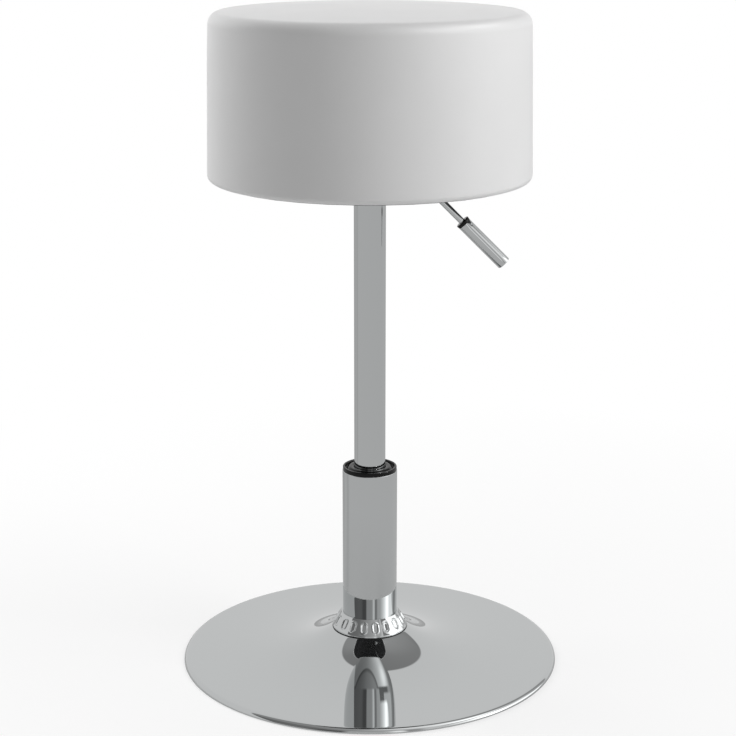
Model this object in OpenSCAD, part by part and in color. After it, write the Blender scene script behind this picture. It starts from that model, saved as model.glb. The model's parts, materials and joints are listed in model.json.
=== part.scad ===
// Vanity stool: a round padded seat on a gas lift that stands on a chromed dish base.
// Millimetres, +Z up, origin on the floor under the middle of the column.
// The seat is drawn at its highest. It sinks by the stroke, turns on the thrust bearing
// at the foot of the column, and the hand lever under the seat releases the gas valve.

/* [Base] */
// Diameter of the round base
base_dia = 356; // [330:1:400]
// Height of the rolled rim above the floor
rim_h = 4.9; // [4.6:0.1:7]
// Climb of the dish from the rim to the neck
dish_rise = 24; // [18:0.5:30]
// Reach over which the dish climbs, larger is gentler
dish_reach = 33; // [26:1:40]
// Power of the climb, 1 is steepest right at the neck and more rounds it over there
dish_power = 1.08; // [1:0.02:1.3]
// Thickness of the chromed cover sheet
cover_t = 1.5; // [1:0.1:1.8]
// Thickness of the felt pads under the base
pad_t = 0.6; // [0.4:0.1:0.9]
// Diameter of one felt pad
pad_dia = 20; // [14:1:26]
// Number of felt pads
pad_count = 8; // [6:1:12]
// Thickness of the bottom plate
floor_plate_t = 1.5; // [1.2:0.1:1.8]
// Distance from the rim of the base in to the cast ballast ring
ballast_inset = 58; // [50:1:80]

/* [Collar] */
// Diameter of the collar at its foot
collar_dia = 71.2; // [68:0.2:80]
// Height of the collar
collar_h = 15.3; // [12:0.1:20]
// Wall of the collar
collar_wall = 2; // [1.6:0.1:2.6]
// Number of dimples round the collar
dimple_count = 18; // [12:1:22]
// Width of one dimple
dimple_w = 6; // [4:0.1:6.6]
// Length of one dimple along the slope
dimple_len = 10.4; // [8:0.1:11]
// Depth of one dimple
dimple_depth = 0.7; // [0.4:0.1:1]
// Thickness of the gasket under the collar
gasket_t = 0.8; // [0.6:0.1:1.5]

/* [Column] */
// Outer diameter of the standing tube
tube_dia = 51.4; // [49:0.2:53]
// Wall of the standing tube
tube_wall = 1.5; // [1.2:0.1:2]
// Height of the standing tube's top edge above the floor
tube_top = 186; // [184:1:230]
// Outer diameter of the gas cylinder
cylinder_dia = 29.2; // [28:0.2:31]
// Wall of the gas cylinder
cylinder_wall = 2.2; // [1.8:0.1:2.6]
// Length of cylinder that stays in the standing tube when the seat is highest
guided_len = 40; // [34:1:42]
// Travel of the seat from its highest to its lowest place
stroke = 110; // [90:1:111]
// Diameter of the piston rod
rod_dia = 10; // [8:0.5:11]
// Height of the black cap above the tube's edge
cap_h = 3.8; // [3:0.1:6]

/* [Seat] */
// Diameter of the seat at its foot, where it is widest
seat_dia = 292.6; // [280:1:320]
// How much the seat's radius draws in between its foot and its top
seat_draw = 2.6; // [0:0.2:6]
// Height of the seat's underside above the floor, at its highest
seat_under = 462.1; // [440:1:500]
// Thickness of the seat at its edge
seat_t = 148.7; // [120:1:170]
// Rise of the crown in the middle of the seat
crown_h = 4; // [2:0.5:8]
// Radius of the seat's top edge
top_edge_r = 11; // [8:0.5:24]
// Radius of the seat's bottom edge
bottom_edge_r = 5; // [4:0.5:8]
// Thickness of the leatherette
skin_t = 1.2; // [0.8:0.1:1.6]
// Width of the leatherette turned in under the board
hem_w = 26; // [20:1:32]
// Thickness of the plywood board
board_t = 18; // [18:1:22]
// Thickness of the soft pad on top of the foam
soft_pad_t = 25; // [18:1:35]
// Thickness of the cloth that closes the underside
dust_cloth_t = 0.8; // [0.5:0.1:1.2]
// Width of level leatherette that the cloth leaves free at the seat's bottom edge
cloth_margin = 2; // [1:0.5:12]

/* [Seat plate] */
// Free width between the corners of the square seat plate and the leatherette's hem
plate_margin = 18; // [14:1:24]
// Distance from the side of the plate to the middle of a bolt hole
bolt_edge = 16; // [13:1:20]
// Thickness of the plate
mount_t = 3; // [2.5:0.5:4]
// Diameter of the bolts through the plate
bolt_dia = 6; // [5:0.5:8]
// Depth of the socket below the top of the plate
socket_depth = 21; // [18:0.5:24]

/* [Lever] */
// Diameter of the lever rod
lever_dia = 6; // [5:0.2:6.4]
// Slope of the lever below level, in degrees
lever_slope = 45; // [40:1:50]
// Distance from the column's middle to the lever's pivot
pivot_x = 25; // [24.5:0.5:27]
// Distance from the pivot to the bend of the rod
bend_reach = 8.5; // [8:0.5:11]
// Length of rod that shows between the bend and the grip
lever_len = 74; // [60:1:90]
// Length of the grip
grip_len = 52; // [44:0.5:70]
// Diameter of the grip
grip_dia = 12.8; // [11:0.2:15]

/* [Hidden] */
$fn = 96;

// A cut runs past its piece by this much
cut = 2;
// Clearance of a turning or sliding fit, on the radius
running_gap = 0.08;
// Clearance of a piece that is pressed, screwed or welded in place, on the radius
seated_gap = 0.05;
// Clearance between pieces that only lie beside each other
lay_gap = 0.3;

// Base
base_r = base_dia / 2;
rim_round = rim_h - pad_t;
dish_end_r = base_r - rim_round;
land_margin = 0.4;
neck_r = collar_dia / 2 + land_margin;
neck_z = rim_h + dish_rise;
tube_r = tube_dia / 2;
tube_bore_r = tube_r - tube_wall;
neck_hole_gap = 0.5;
neck_hole_r = tube_r + neck_hole_gap;
floor_plate_z0 = pad_t;
floor_plate_z1 = pad_t + floor_plate_t;
rim_fit_share = 0.6;
floor_plate_r = dish_end_r + (rim_round - cover_t) * rim_fit_share;
access_r = 18;
pad_ring_inset = 20;
pad_ring_r = base_r - pad_ring_inset;
dish_steps = 40;
dish_crowd_power = 1.5;
rim_steps = 8;

// Flange that the standing tube is welded to
flange_r = 48;
flange_t = 5;
flange_z1 = floor_plate_z1 + flange_t;
weld_w = 3;
flange_screw_count = 4;
flange_screw_ring_r = (tube_r + weld_w + flange_r) / 2;
flange_screw_dia = 6;
ballast_screw_count = 6;
ballast_screw_ring_r = 80;
ballast_screw_dia = 5;
ballast_screw_len = 5;
head_ratio = 1.85;
key_ratio = 0.6;
key_depth = 1;
ballast_bore_gap = 2.5;
ballast_bore_r = flange_r + ballast_bore_gap;
ballast_r = base_r - ballast_inset;

// Collar
collar_foot_r = collar_dia / 2;
collar_top_wall = 1.4;
collar_top_r = tube_r + collar_top_wall;
collar_z0 = neck_z + gasket_t;
collar_z1 = collar_z0 + collar_h;
collar_lip = 1.4;
collar_tilt = atan((collar_foot_r - collar_top_r) / (collar_h - collar_lip));
gasket_w = 3;
gasket_proud = 0.2;

// Foot bearing, from the tube floor upwards
foot_space = 7;
tube_floor_z0 = floor_plate_z1 + foot_space;
tube_floor_t = 4;
tube_floor_z1 = tube_floor_z0 + tube_floor_t;
race_t = 2;
race_w = 8;
ball_dia = 4;
ball_gap = 0.05;
ball_count = 8;
rod_r = rod_dia / 2;
race_r = rod_r + race_w;
ball_place_share = 0.55;
ball_ring_r = rod_r + race_w * ball_place_share;
ball_z = tube_floor_z1 + race_t + ball_gap + ball_dia / 2;
upper_race_z0 = ball_z + ball_dia / 2 + ball_gap;
upper_race_z1 = upper_race_z0 + race_t;
cage_t = 2.6;
cage_edge = 0.6;
clip_t = 1.1;
washer_t = 0.9;
clip_gap = 0.1;
clip_w = 3;
clip_groove = 1;
clip_groove_r = rod_r - clip_groove;
clip_mouth_ratio = 1.5;
rod_tail = 3.4;
clip_z1 = tube_floor_z0 - clip_gap - washer_t - clip_gap;
rod_z0 = clip_z1 - clip_t - rod_tail / 2;

// Gas spring, hung rod down
cylinder_r = cylinder_dia / 2;
cylinder_bore_r = cylinder_r - cylinder_wall;
cylinder_z0 = tube_top - guided_len;
crimp_t = 1.5;
crimp_w = 5.6;
rod_guide_len = 16;
rod_guide_z0 = cylinder_z0 + crimp_t;
rod_seal_t = 3;
rod_seal_z0 = rod_guide_z0 + rod_guide_len;
piston_space = 2;
piston_z0 = rod_seal_z0 + rod_seal_t + piston_space;
piston_len = 12;
piston_z1 = piston_z0 + piston_len;
piston_slack = 0.3;
piston_r = cylinder_bore_r - piston_slack;
seal_groove = 1.6;
seal_band = 4;
seal_z0 = piston_z0 + (piston_len - seal_band) / 2;
spigot_share = 0.8;
spigot_r = rod_r * spigot_share;
nut_t = 4;
nut_ratio = 1.6;
spigot_tail = 1;
rod_z1 = piston_z1 + nut_t + spigot_tail;
bump_gap = 2;
bump_wall = 6;
bump_z1 = cylinder_z0 - stroke - bump_gap;
bump_waist_share = 0.12;

// Cap and guide at the mouth of the standing tube
cap_shy = 0.4;
cap_r = tube_r - cap_shy;
cap_z1 = tube_top + cap_h;
cap_skirt_len = 8;
cap_skirt_wall = 2.4;
cap_web = 2;
cap_bore_gap = 0.3;
cap_bore_r = cylinder_r + cap_bore_gap;
cap_edge_flat = 0.2;
cap_chamfer_w = 3.2;
cap_floor_t = 1.4;
cap_lip_w = 1.8;
cap_round = 0.8;
bush_len = 60;
bush_wall = 2.8;
bush_flange_t = 3;
bush_rib_t = 2.4;
bush_rib_count = 6;
bush_rib_shy = 0.5;
bush_flange_z1 = tube_top - cap_skirt_len - lay_gap;
wiper_w = 3.6;
wiper_z1 = tube_top - cap_web;
wiper_t = 4;
bush_z1 = wiper_z1 - wiper_t;
bush_z0 = bush_z1 - bush_len;

// Seat
seat_foot_r = seat_dia / 2;
seat_top_r = seat_foot_r - seat_draw;
seat_top = seat_under + seat_t;
crown_span = seat_top_r - top_edge_r;
crown_r = (crown_span * crown_span + crown_h * crown_h) / (2 * crown_h);
crown_edge_angle = asin(crown_span / crown_r);
edge_steps = 10;
crown_steps = 12;
hem_r = seat_foot_r - hem_w;
board_z0 = seat_under + skin_t;
board_z1 = board_z0 + board_t;
board_wrap = 5;
board_r = seat_foot_r - skin_t - board_wrap;
foam_gap = 0.2;
foam_inset = skin_t + foam_gap;
soft_pad_z0 = seat_top - soft_pad_t;
pocket_r = 54;
pocket_half_w = 26;
cloth_step_r = hem_r - lay_gap;
dust_cloth_r = seat_foot_r - bottom_edge_r - cloth_margin;

// Seat plate and its socket
mount_z1 = board_z0 - dust_cloth_t;
mount_z0 = mount_z1 - mount_t;
mount_corner_r = 12;
mount_side = 2 * ((hem_r - plate_margin - mount_corner_r) / sqrt(2) + mount_corner_r);
bolt_pitch = mount_side - 2 * bolt_edge;
bolt_r = bolt_dia / 2;
bolt_hole_gap = 0.4;
washer_r_ratio = 2;
plate_washer_t = 1.5;
bolt_head_t = 4;
bolt_head_ratio = 1.9;
tee_barrel_wall = 1.3;
tee_barrel_len = 11;
tee_flange_ratio = 3;
tee_flange_t = 1.5;
bolt_short = 1.5;
socket_wall = 4.4;
socket_r = cylinder_r + socket_wall;
socket_z0 = mount_z1 - socket_depth;
socket_proud = 2;
socket_z1 = mount_z1 + socket_proud;
socket_flange_w = 8;
socket_flange_t = 2.5;
taper_drop = 0.8;
cylinder_tip = 1.5;
cylinder_z1 = socket_z1 + cylinder_tip;
cylinder_end_t = 18;
valve_len = 12;
pin_r = 2.5;
pin_proud = 3;
pin_nose = 0.8;
pin_z1 = cylinder_z1 + pin_proud;
valve_tail = 2;
pin_z0 = cylinder_z1 - cylinder_end_t - valve_len + valve_tail;

// Staples under the board
staple_w = 10;
staple_wire = 0.7;
staple_leg = 7;
hem_staple_count = 36;
cloth_staple_count = 24;
staple_inset = 7;

// Lever, drawn at rest in the XZ plane
lever_r = lever_dia / 2;
lever_gap = 0.4;
pivot_z = pin_z1 + lever_gap + lever_r;
lever_tip = 5;
boss_r = 4.4;
boss_w = 9;
pivot_pin_r = 2;
pivot_head_r = 3.4;
pivot_head_t = 1.2;
ear_t = 2;
ear_gap = 0.4;
ear_half_len = 5;
ear_foot_w = 6;
bracket_t = 1.5;
slot_len = 18;
slot_w = 8;
slot_start = 3.4;
slot_x0 = pivot_x + bend_reach + slot_start;
grip_bore_depth = 40;
grip_bevel = 0.8;
bush_collar_t = 3.1;
bush_collar_proud = 0.3;
bush_spigot_len = 6;
bush_spigot_share = 0.72;

// How far out radius r is from the neck, in reaches of the dish
function reaches(r) = max(r - neck_r, 0) / dish_reach;
function fall(r) = exp(-pow(reaches(r), dish_power));
// Height of the dish above the floor at radius r
function dish_z(r) = rim_h + dish_rise * (fall(r) - fall(dish_end_r)) / (1 - fall(dish_end_r));
// Steepness of the dish at radius r
function dish_slope(r) = dish_rise * dish_power / dish_reach * pow(reaches(r), dish_power - 1) * fall(r);
function dish_under_z(r) = dish_z(r) - cover_t * sqrt(1 + pow(dish_slope(r), 2));
function crowded(i, n) = pow(i / n, dish_crowd_power);
function arc(x, z, r, a0, a1, n) =
    [for (i = [0:n]) let (a = a0 + (a1 - a0) * i / n) [x + r * cos(a), z + r * sin(a)]];
function backwards(list) = [for (i = [len(list) - 1:-1:0]) list[i]];

// Outline of the seat from its foot to the middle of its crown, lying inset inside the skin's face
function seat_outline(inset) = concat(
    arc(seat_foot_r - bottom_edge_r, seat_under + bottom_edge_r, bottom_edge_r - inset,
        -90, 0, edge_steps),
    arc(seat_top_r - top_edge_r, seat_top - top_edge_r, top_edge_r - inset,
        0, 90 - crown_edge_angle, edge_steps),
    [for (i = [1:crown_steps]) let (a = crown_edge_angle * (1 - i / crown_steps))
        [(crown_r - inset) * sin(a), seat_top + crown_h - crown_r + (crown_r - inset) * cos(a)]]);

module tube(r_out, r_in, z0, z1) {
    difference() {
        translate([0, 0, z0]) cylinder(r = r_out, h = z1 - z0);
        translate([0, 0, z0 - cut]) cylinder(r = r_in, h = z1 - z0 + 2 * cut);
    }
}

module rod_between(r, z0, z1) {
    translate([0, 0, z0]) cylinder(r = r, h = z1 - z0);
}

module round_copies(count, ring_r, first = 0) {
    for (i = [0:count - 1])
        rotate([0, 0, first + i * 360 / count]) translate([ring_r, 0, 0]) children();
}

module at_bolts() {
    for (x = [-1, 1], y = [-1, 1])
        translate([x * bolt_pitch / 2, y * bolt_pitch / 2, 0]) children();
}

// Countersunk screw with a hexagon key, head down at z0
module countersunk(dia, length, head_h, z0) {
    head_r = dia / 2 * head_ratio;
    difference() {
        union() {
            translate([0, 0, z0]) cylinder(r1 = head_r, r2 = dia / 2, h = head_h);
            rod_between(dia / 2, z0 + head_h, z0 + length);
        }
        translate([0, 0, z0 - cut]) cylinder(r = dia / 2 * key_ratio, h = cut + key_depth, $fn = 6);
    }
}

module countersunk_hole(dia, head_h, z0) {
    head_r = dia / 2 * head_ratio + seated_gap;
    translate([0, 0, z0]) cylinder(r1 = head_r, r2 = dia / 2 + seated_gap, h = head_h);
    rod_between(dia / 2 + seated_gap, z0 - cut, z0 + head_h + cut);
    rod_between(head_r, z0 - cut, z0);
}

// Base

module base_cover() {
    outer = concat([[neck_hole_r, neck_z]],
        [for (i = [0:dish_steps]) let (r = neck_r + (dish_end_r - neck_r) * crowded(i, dish_steps))
            [r, dish_z(r)]],
        arc(dish_end_r, pad_t, rim_round, 90 - 90 / rim_steps, 0, rim_steps - 1));
    inner = concat([[neck_hole_r, neck_z - cover_t], [neck_r - cover_t / 2, neck_z - cover_t]],
        [for (i = [0:dish_steps]) let (r = neck_r + (dish_end_r - neck_r) * crowded(i, dish_steps))
            [r, min(dish_under_z(r), neck_z - cover_t)]],
        arc(dish_end_r, pad_t, rim_round - cover_t, 90 - 90 / rim_steps, 0, rim_steps - 1));
    color("gainsboro") rotate_extrude() polygon(concat(outer, backwards(inner)));
}

module ballast_ring() {
    top = [for (i = [0:dish_steps])
        let (r = ballast_bore_r + (ballast_r - ballast_bore_r) * i / dish_steps)
            [r, dish_under_z(r) - lay_gap]];
    color("dimgray") difference() {
        rotate_extrude() polygon(concat(
            [[ballast_r, floor_plate_z1], [ballast_bore_r, floor_plate_z1]], top));
        round_copies(ballast_screw_count, ballast_screw_ring_r)
            rod_between(ballast_screw_dia / 2 + seated_gap, floor_plate_z1 - cut,
                floor_plate_z0 + ballast_screw_len + seated_gap);
    }
}

module bottom_plate() {
    color("black") difference() {
        tube(floor_plate_r, access_r, floor_plate_z0, floor_plate_z1);
        round_copies(flange_screw_count, flange_screw_ring_r)
            countersunk_hole(flange_screw_dia, floor_plate_t, floor_plate_z0);
        round_copies(ballast_screw_count, ballast_screw_ring_r)
            countersunk_hole(ballast_screw_dia, floor_plate_t, floor_plate_z0);
    }
}

module flange_screws() {
    color("silver") round_copies(flange_screw_count, flange_screw_ring_r)
        countersunk(flange_screw_dia, floor_plate_t + flange_t, floor_plate_t, floor_plate_z0);
}

module ballast_screws() {
    color("silver") round_copies(ballast_screw_count, ballast_screw_ring_r)
        countersunk(ballast_screw_dia, ballast_screw_len, floor_plate_t, floor_plate_z0);
}

module floor_pads() {
    color("dimgray") round_copies(pad_count, pad_ring_r, 180 / pad_count)
        cylinder(d = pad_dia, h = pad_t);
}

module dimple() {
    half = (dimple_len - dimple_w) / 2;
    translate([(collar_foot_r + collar_top_r) / 2, 0, collar_z0 + (collar_lip + collar_h) / 2])
        rotate([0, -collar_tilt, 0]) {
            for (z = [-half, half]) translate([-dimple_depth, 0, z]) rotate([0, 90, 0])
                cylinder(d = dimple_w, h = dimple_depth + cut);
            translate([-dimple_depth, -dimple_w / 2, -half])
                cube([dimple_depth + cut, dimple_w, 2 * half]);
        }
}

module collar() {
    bore = tube_r + seated_gap;
    color("gainsboro") difference() {
        rotate_extrude() polygon([
            [collar_foot_r - collar_wall, collar_z0], [collar_foot_r, collar_z0],
            [collar_foot_r, collar_z0 + collar_lip], [collar_top_r, collar_z1],
            [bore, collar_z1], [bore, collar_z1 - collar_wall]]);
        for (i = [0:dimple_count - 1]) rotate([0, 0, i * 360 / dimple_count]) dimple();
    }
}

module collar_gasket() {
    color("black")
        tube(collar_foot_r + gasket_proud, collar_foot_r - gasket_w, neck_z, collar_z0);
}

// Column

module outer_tube() {
    color("silver") tube(tube_r, tube_bore_r, floor_plate_z1, tube_top);
}

module tube_flange() {
    bore = tube_r + seated_gap;
    color("dimgray") difference() {
        rotate_extrude() polygon([
            [bore, floor_plate_z1], [flange_r, floor_plate_z1], [flange_r, flange_z1],
            [tube_r + weld_w, flange_z1], [bore, flange_z1 + weld_w]]);
        round_copies(flange_screw_count, flange_screw_ring_r)
            rod_between(flange_screw_dia / 2 + seated_gap, floor_plate_z1 - cut, flange_z1 + cut);
    }
}

module tube_floor() {
    color("dimgray")
        tube(tube_bore_r - seated_gap, rod_r + running_gap, tube_floor_z0, tube_floor_z1);
}

module guide_bush() {
    liner_r = cylinder_r + running_gap;
    flange_out = tube_bore_r - seated_gap;
    rib_r = flange_out - bush_rib_shy;
    color("whitesmoke") difference() {
        union() {
            rod_between(liner_r + bush_wall, bush_z0, bush_z1);
            for (z = [bush_z0, bush_flange_z1 - bush_flange_t])
                rod_between(flange_out, z, z + bush_flange_t);
            for (i = [0:bush_rib_count / 2 - 1]) rotate([0, 0, i * 360 / bush_rib_count])
                translate([-rib_r, -bush_rib_t / 2, bush_z0 + bush_flange_t / 2])
                    cube([2 * rib_r, bush_rib_t, bush_flange_z1 - bush_z0 - bush_flange_t]);
        }
        rod_between(liner_r, bush_z0 - cut, bush_z1 + cut);
    }
}

module wiper_ring() {
    color("gray") tube(cylinder_r + wiper_w, cylinder_r + running_gap, bush_z1, wiper_z1);
}

module top_cap() {
    skirt_r = tube_bore_r - seated_gap;
    rim_in = cap_r - cap_round - cap_edge_flat;
    floor_out = rim_in - cap_chamfer_w;
    floor_z = tube_top + cap_floor_t;
    color([0.03, 0.03, 0.03]) rotate_extrude() polygon(concat(
        [[cap_bore_r, wiper_z1], [skirt_r - cap_skirt_wall, wiper_z1],
            [skirt_r - cap_skirt_wall, tube_top - cap_skirt_len],
            [skirt_r, tube_top - cap_skirt_len], [skirt_r, tube_top], [cap_r, tube_top]],
        arc(cap_r - cap_round, cap_z1 - cap_round, cap_round, 0, 90, edge_steps / 2),
        [[rim_in, cap_z1], [floor_out, floor_z], [cap_bore_r + cap_lip_w, floor_z],
            [cap_bore_r + cap_lip_w / 2, floor_z + cap_round],
            [cap_bore_r, floor_z + cap_round]]));
}

module lower_race() {
    color("silver")
        tube(race_r, rod_r + running_gap, tube_floor_z1, tube_floor_z1 + race_t);
}

module ball_cage() {
    color("tan") difference() {
        tube(race_r - cage_edge, rod_r + cage_edge, ball_z - cage_t / 2, ball_z + cage_t / 2);
        round_copies(ball_count, ball_ring_r)
            rod_between(ball_dia / 2 + running_gap, ball_z - cage_t, ball_z + cage_t);
    }
}

module bearing_balls() {
    color("silver") round_copies(ball_count, ball_ring_r)
        translate([0, 0, ball_z]) sphere(d = ball_dia);
}

module upper_race() {
    color("silver") tube(race_r, rod_r + seated_gap, upper_race_z0, upper_race_z1);
}

module piston_rod() {
    color("silver") difference() {
        union() {
            rod_between(rod_r, rod_z0, piston_z0);
            rod_between(spigot_r, piston_z0, rod_z1);
        }
        tube(rod_r + cut, clip_groove_r, clip_z1 - clip_t, clip_z1);
    }
}

module piston() {
    color("goldenrod") difference() {
        tube(piston_r, spigot_r + seated_gap, piston_z0, piston_z1);
        tube(piston_r + cut, piston_r - seal_groove, seal_z0, seal_z0 + seal_band);
    }
}

module piston_seal() {
    color("black") tube(cylinder_bore_r - running_gap, piston_r - seal_groove + seated_gap,
        seal_z0 + seated_gap, seal_z0 + seal_band - seated_gap);
}

module piston_nut() {
    color("silver") difference() {
        translate([0, 0, piston_z1]) cylinder(r = spigot_r * nut_ratio, h = nut_t, $fn = 6);
        rod_between(spigot_r + seated_gap, piston_z1 - cut, piston_z1 + nut_t + cut);
    }
}

module bump_stop() {
    height = bump_z1 - upper_race_z1;
    waist = height * bump_waist_share;
    out = rod_r + bump_wall;
    color("black") rotate_extrude() polygon([
        [rod_r + seated_gap, upper_race_z1], [out, upper_race_z1],
        [out, upper_race_z1 + height / 3], [out - waist, upper_race_z1 + height / 2],
        [out, upper_race_z1 + height * 2 / 3], [out, bump_z1], [rod_r + seated_gap, bump_z1]]);
}

module clip_washer() {
    color("silver") tube(rod_r + clip_w, rod_r + seated_gap,
        tube_floor_z0 - clip_gap - washer_t, tube_floor_z0 - clip_gap);
}

module retaining_clip() {
    color("silver") difference() {
        tube(rod_r + clip_w, clip_groove_r + seated_gap, clip_z1 - clip_t + seated_gap,
            clip_z1 - seated_gap);
        translate([0, -clip_groove_r * clip_mouth_ratio / 2, clip_z1 - clip_t - cut])
            cube([rod_r + clip_w + cut, clip_groove_r * clip_mouth_ratio, clip_t + 2 * cut]);
    }
}

module gas_cylinder() {
    bore_z1 = cylinder_z1 - cylinder_end_t;
    crimp_r = cylinder_r - crimp_w;
    taper_r = cylinder_r - taper_drop;
    color("silver") rotate_extrude() polygon([
        [crimp_r, cylinder_z0], [cylinder_r, cylinder_z0], [cylinder_r, socket_z0],
        [taper_r, cylinder_z1], [pin_r + running_gap, cylinder_z1],
        [pin_r + running_gap, bore_z1], [cylinder_bore_r, bore_z1],
        [cylinder_bore_r, cylinder_z0 + crimp_t], [crimp_r, cylinder_z0 + crimp_t]]);
}

module rod_guide() {
    color("goldenrod") tube(cylinder_bore_r - seated_gap, rod_r + running_gap,
        rod_guide_z0, rod_guide_z0 + rod_guide_len);
}

module rod_seal() {
    color("black") tube(cylinder_bore_r - seated_gap, rod_r + running_gap,
        rod_seal_z0, rod_seal_z0 + rod_seal_t);
}

module valve_body() {
    top = cylinder_z1 - cylinder_end_t;
    color("goldenrod")
        tube(cylinder_bore_r - seated_gap, pin_r + running_gap, top - valve_len, top);
}

module release_pin() {
    color("darkgray") {
        rod_between(pin_r, pin_z0, pin_z1 - pin_nose);
        translate([0, 0, pin_z1 - pin_nose]) cylinder(r1 = pin_r, r2 = pin_r - pin_nose, h = pin_nose);
    }
}

// Seat plate

module lift_socket() {
    slope = taper_drop / (cylinder_z1 - socket_z0);
    mouth_r = cylinder_r + seated_gap;
    color("dimgray") rotate_extrude() polygon([
        [mouth_r, socket_z0], [socket_r, socket_z0], [socket_r, mount_z0 - socket_flange_t],
        [socket_r + socket_flange_w, mount_z0 - socket_flange_t],
        [socket_r + socket_flange_w, mount_z0], [socket_r, mount_z0], [socket_r, socket_z1],
        [mouth_r - slope * (socket_z1 - socket_z0), socket_z1]]);
}

module rounded_square(side, r) {
    square([side, side - 2 * r], center = true);
    square([side - 2 * r, side], center = true);
    for (x = [-1, 1], y = [-1, 1])
        translate([x * (side / 2 - r), y * (side / 2 - r)]) circle(r = r);
}

module seat_plate() {
    color([0.08, 0.08, 0.08]) difference() {
        translate([0, 0, mount_z0]) linear_extrude(mount_t)
            rounded_square(mount_side, mount_corner_r);
        rod_between(socket_r + seated_gap, mount_z0 - cut, mount_z1 + cut);
        at_bolts() rod_between(bolt_r + bolt_hole_gap, mount_z0 - cut, mount_z1 + cut);
        translate([slot_x0, -slot_w / 2, mount_z0 - cut]) cube([slot_len, slot_w, mount_t + 2 * cut]);
    }
}

module lever_bracket() {
    half_gap = boss_w / 2 + ear_gap;
    color("dimgray") difference() {
        for (side = [-1, 1]) scale([1, side, 1]) {
            translate([pivot_x - ear_half_len, half_gap, mount_z1])
                cube([2 * ear_half_len, ear_t, pivot_z - mount_z1]);
            translate([pivot_x, half_gap, pivot_z]) rotate([-90, 0, 0])
                cylinder(r = ear_half_len, h = ear_t);
            translate([pivot_x - ear_half_len, half_gap, mount_z1])
                cube([2 * ear_half_len, ear_foot_w, bracket_t]);
        }
        translate([pivot_x, 0, pivot_z]) rotate([90, 0, 0])
            cylinder(r = pivot_pin_r + seated_gap, h = boss_w * 4, center = true);
    }
}

module pivot_pin() {
    half = boss_w / 2 + ear_gap + ear_t;
    color("silver") translate([pivot_x, 0, pivot_z]) rotate([90, 0, 0]) {
        translate([0, 0, -half]) cylinder(r = pivot_pin_r, h = 2 * half);
        for (side = [-1, 1]) translate([0, 0, side * (half + pivot_head_t / 2)])
            cylinder(r = pivot_head_r, h = pivot_head_t, center = true);
    }
}

module plate_bolts() {
    head_z1 = mount_z0 - plate_washer_t;
    color("silver") at_bolts() {
        translate([0, 0, head_z1 - bolt_head_t])
            cylinder(r = bolt_r * bolt_head_ratio, h = bolt_head_t, $fn = 6);
        rod_between(bolt_r, head_z1, board_z1 - bolt_short);
    }
}

module plate_washers() {
    color("silver") at_bolts() tube(bolt_r * washer_r_ratio, bolt_r + seated_gap,
        mount_z0 - plate_washer_t, mount_z0);
}

module tee_nuts() {
    barrel_r = bolt_r + tee_barrel_wall;
    color("silver") at_bolts() difference() {
        union() {
            rod_between(barrel_r, board_z1 - tee_barrel_len, board_z1);
            rod_between(bolt_r * tee_flange_ratio, board_z1 - tee_flange_t, board_z1);
        }
        rod_between(bolt_r + seated_gap, board_z1 - tee_barrel_len - cut, board_z1 + cut);
    }
}

// Opening for the lift's head and the lever, open from the middle towards the lever
module lever_pocket(z0, z1) {
    rod_between(pocket_half_w, z0, z1);
    translate([0, -pocket_half_w / 2, z0]) cube([pocket_r, pocket_half_w, z1 - z0]);
}

// Seat

module seat_board() {
    barrel_r = bolt_r + tee_barrel_wall + seated_gap;
    color("burlywood") difference() {
        rod_between(board_r, board_z0, board_z1);
        lever_pocket(board_z0 - cut, board_z1 + cut);
        at_bolts() rod_between(barrel_r, board_z0 - cut, board_z1 + cut);
        at_bolts() rod_between(bolt_r * tee_flange_ratio + seated_gap, board_z1 - tee_flange_t,
            board_z1 + cut);
    }
}

// The seat's padding between two heights
module padding(z0, z1) {
    intersection() {
        rotate_extrude() polygon(concat(
            [[0, seat_under + foam_inset]], seat_outline(foam_inset)));
        rod_between(seat_foot_r + cut, z0, z1);
    }
}

module edge_wrap() {
    color("ivory") difference() {
        padding(board_z0 + foam_gap, board_z1);
        rod_between(board_r + foam_gap, board_z0 - cut, board_z1 + cut);
    }
}

module foam_block() {
    color("khaki") padding(board_z1, soft_pad_z0);
}

module soft_pad() {
    color("ivory") padding(soft_pad_z0, seat_top + crown_h);
}

module seat_cover() {
    color("white") rotate_extrude() polygon(concat(
        [[hem_r, seat_under]], seat_outline(0), backwards(seat_outline(skin_t)),
        [[hem_r, seat_under + skin_t]]));
}

module dust_cloth() {
    color("black") difference() {
        rotate_extrude() polygon([
            [0, board_z0 - dust_cloth_t], [cloth_step_r - dust_cloth_t, board_z0 - dust_cloth_t],
            [cloth_step_r - dust_cloth_t, seat_under - dust_cloth_t],
            [dust_cloth_r, seat_under - dust_cloth_t], [dust_cloth_r, seat_under],
            [cloth_step_r, seat_under], [cloth_step_r, board_z0], [0, board_z0]]);
        lever_pocket(board_z0 - dust_cloth_t - cut, board_z0 + cut);
        at_bolts() rod_between(bolt_r + bolt_hole_gap, board_z0 - dust_cloth_t - cut, board_z0 + cut);
    }
}

module staple(z) {
    translate([-staple_wire / 2, -staple_w / 2, z - staple_wire])
        cube([staple_wire, staple_w, staple_wire]);
    for (y = [-staple_w / 2, staple_w / 2 - staple_wire])
        translate([-staple_wire / 2, y, z - staple_wire])
            cube([staple_wire, staple_wire, staple_leg]);
}

module staples() {
    color("silver") {
        round_copies(hem_staple_count, hem_r + staple_inset) staple(seat_under - dust_cloth_t);
        round_copies(cloth_staple_count, hem_r - staple_inset) staple(board_z0 - dust_cloth_t);
    }
}

// Lever

// Carries its children to the bend, with their +Z down along the sloping rod
module along_lever() {
    translate([pivot_x + bend_reach, 0, pivot_z]) rotate([0, 90 + lever_slope, 0]) children();
}

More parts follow.
